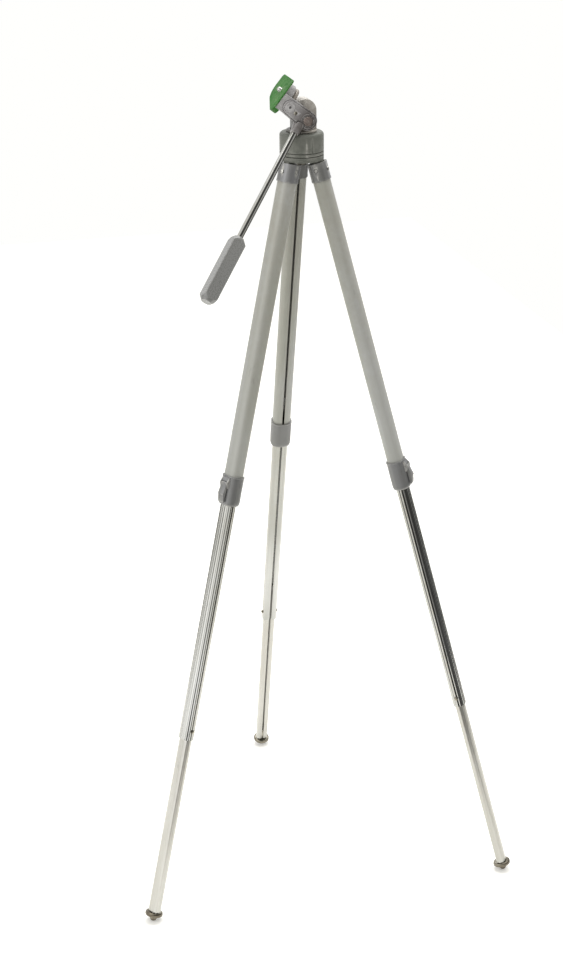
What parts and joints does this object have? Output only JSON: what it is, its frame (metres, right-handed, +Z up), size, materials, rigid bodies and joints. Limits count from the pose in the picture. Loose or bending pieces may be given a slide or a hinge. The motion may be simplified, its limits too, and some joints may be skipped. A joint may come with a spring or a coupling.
{
  "type": "tripod",
  "caption": "Light metal tripod with telescopic fluted legs, flip-lever locks, a pan-and-tilt head, a side handle and a green camera platform.",
  "frame": {"origin": "middle of the footprint's box on the ground, under the open tripod", "axes": "+Z up, +Y towards the rear leg, -Y the side of the tilt arm's face, -X the side that the platform leans to"},
  "size_m": [0.5324, 0.4644, 1.123],
  "materials": {
    "leg_enamel": "satin light grey enamel",
    "hub_enamel": "semi-gloss grey hammer enamel",
    "collar_metal": "satin mid grey",
    "chrome": "bright chrome plate with fine scratches",
    "nickel": "bright nickel plate, slightly yellowed",
    "cast_metal": "fine cast metal, worn",
    "green_enamel": "satin green enamel",
    "grip_plastic": "matt grey moulded plastic",
    "dark_nickel": "tarnished nickel plate"
  },
  "bodies": {
    "crown": {"crown": "hub_enamel", "pan_ring": "hub_enamel", "pan_bolt": "dark_nickel", "rear_hinge_pin": "collar_metal", "left_hinge_pin": "collar_metal", "right_hinge_pin": "collar_metal"},
    "pan_head": {"pan_housing": "hub_enamel", "head_body": "cast_metal"},
    "tilt_head": {"tilt_arm": "cast_metal", "arm_cover": "cast_metal", "cover_screw": "dark_nickel", "tilt_bolt": "cast_metal", "tilt_nut": "nickel", "tilt_spacer": "dark_nickel", "camera_platform": "green_enamel", "platform_screw_inner": "nickel", "platform_screw_outer": "nickel"},
    "camera_screw": {"camera_screw": "chrome", "camera_knob": "nickel"},
    "handle": {"handle_rod": "chrome", "handle_grip": "grip_plastic"},
    "rear_leg": {"rear_leg_cap": "collar_metal", "rear_cap_rivet": "nickel", "rear_upper_tube": "leg_enamel", "rear_lock_collar": "collar_metal", "rear_lever_pin": "nickel"},
    "rear_lever": {"rear_lock_lever": "collar_metal"},
    "rear_middle": {"rear_middle_tube": "chrome"},
    "rear_button_near": {"rear_button_near": "dark_nickel"},
    "rear_button_far": {"rear_button_far": "dark_nickel"},
    "rear_lower": {"rear_lower_tube": "nickel", "rear_foot_disc": "dark_nickel", "rear_foot_tip": "dark_nickel"},
    "left_leg": {"left_leg_cap": "collar_metal", "left_cap_rivet": "nickel", "left_upper_tube": "leg_enamel", "left_lock_collar": "collar_metal", "left_lever_pin": "nickel"},
    "left_lever": {"left_lock_lever": "collar_metal"},
    "left_middle": {"left_middle_tube": "chrome"},
    "left_button_near": {"left_button_near": "dark_nickel"},
    "left_button_far": {"left_button_far": "dark_nickel"},
    "left_lower": {"left_lower_tube": "nickel", "left_foot_disc": "dark_nickel", "left_foot_tip": "dark_nickel"},
    "right_leg": {"right_leg_cap": "collar_metal", "right_cap_rivet": "nickel", "right_upper_tube": "leg_enamel", "right_lock_collar": "collar_metal", "right_lever_pin": "nickel"},
    "right_lever": {"right_lock_lever": "collar_metal"},
    "right_middle": {"right_middle_tube": "chrome"},
    "right_button_near": {"right_button_near": "dark_nickel"},
    "right_button_far": {"right_button_far": "dark_nickel"},
    "right_lower": {"right_lower_tube": "nickel", "right_foot_disc": "dark_nickel", "right_foot_tip": "dark_nickel"}
  },
  "joints": [
    {"name": "pan", "type": "hinge", "parent": "crown", "child": "pan_head", "pos_m": [0, -0.07332, 1.03], "axis": [0, 0, 1], "continuous": true},
    {"name": "tilt", "type": "hinge", "parent": "pan_head", "child": "tilt_head", "pos_m": [0.0023, -0.07332, 1.0705], "axis": [0, 1, 0], "range_deg": [0, 95]},
    {"name": "camera_screw_turn", "type": "hinge", "parent": "tilt_head", "child": "camera_screw", "pos_m": [0.00859, -0.07582, 1.07827], "axis": [-0.7771, 0, 0.6293], "continuous": true},
    {"name": "handle_twist", "type": "hinge", "parent": "tilt_head", "child": "handle", "pos_m": [-0.00803, -0.09332, 1.06728], "axis": [-0.5557, -0.4695, -0.6862], "range_deg": [0, 240]},
    {"name": "rear_leg_fold", "type": "hinge", "parent": "crown", "child": "rear_leg", "pos_m": [0, -0.05072, 1.006], "axis": [-1, 0, 0], "range_deg": [0, 15]},
    {"name": "rear_lever_flip", "type": "hinge", "parent": "rear_leg", "child": "rear_lever", "pos_m": [0, 0.07193, 0.61032], "axis": [1, 0, 0], "range_deg": [0, 110]},
    {"name": "rear_middle_slide", "type": "slide", "parent": "rear_leg", "child": "rear_middle", "axis": [0, -0.2627, 0.9649], "range_m": [0, 0.31]},
    {"name": "rear_button_near_press", "type": "slide", "parent": "rear_middle", "child": "rear_button_near", "axis": [1, 0, 0], "range_m": [0, 0.001], "stiffness_N_per_m": 500},
    {"name": "rear_button_far_press", "type": "slide", "parent": "rear_middle", "child": "rear_button_far", "axis": [-1, 0, 0], "range_m": [0, 0.001], "stiffness_N_per_m": 500},
    {"name": "rear_lower_slide", "type": "slide", "parent": "rear_middle", "child": "rear_lower", "axis": [0, -0.2627, 0.9649], "range_m": [0, 0.25]},
    {"name": "left_leg_fold", "type": "hinge", "parent": "crown", "child": "left_leg", "pos_m": [-0.01957, -0.08462, 1.006], "axis": [0.5, -0.866, 0], "range_deg": [0, 15]},
    {"name": "left_lever_flip", "type": "hinge", "parent": "left_leg", "child": "left_lever", "pos_m": [-0.12579, -0.14594, 0.61032], "axis": [-0.5, 0.866, 0], "range_deg": [0, 110]},
    {"name": "left_middle_slide", "type": "slide", "parent": "left_leg", "child": "left_middle", "axis": [0.2275, 0.1313, 0.9649], "range_m": [0, 0.31]},
    {"name": "left_button_near_press", "type": "slide", "parent": "left_middle", "child": "left_button_near", "axis": [-0.5, 0.866, 0], "range_m": [0, 0.001], "stiffness_N_per_m": 500},
    {"name": "left_button_far_press", "type": "slide", "parent": "left_middle", "child": "left_button_far", "axis": [0.5, -0.866, 0], "range_m": [0, 0.001], "stiffness_N_per_m": 500},
    {"name": "left_lower_slide", "type": "slide", "parent": "left_middle", "child": "left_lower", "axis": [0.2275, 0.1313, 0.9649], "range_m": [0, 0.25]},
    {"name": "right_leg_fold", "type": "hinge", "parent": "crown", "child": "right_leg", "pos_m": [0.01957, -0.08462, 1.006], "axis": [0.5, 0.866, 0], "range_deg": [0, 15]},
    {"name": "right_lever_flip", "type": "hinge", "parent": "right_leg", "child": "right_lever", "pos_m": [0.12579, -0.14594, 0.61032], "axis": [-0.5, -0.866, 0], "range_deg": [0, 110]},
    {"name": "right_middle_slide", "type": "slide", "parent": "right_leg", "child": "right_middle", "axis": [-0.2275, 0.1313, 0.9649], "range_m": [0, 0.31]},
    {"name": "right_button_near_press", "type": "slide", "parent": "right_middle", "child": "right_button_near", "axis": [-0.5, -0.866, 0], "range_m": [0, 0.001], "stiffness_N_per_m": 500},
    {"name": "right_button_far_press", "type": "slide", "parent": "right_middle", "child": "right_button_far", "axis": [0.5, 0.866, 0], "range_m": [0, 0.001], "stiffness_N_per_m": 500},
    {"name": "right_lower_slide", "type": "slide", "parent": "right_middle", "child": "right_lower", "axis": [-0.2275, 0.1313, 0.9649], "range_m": [0, 0.25]}
  ]
}
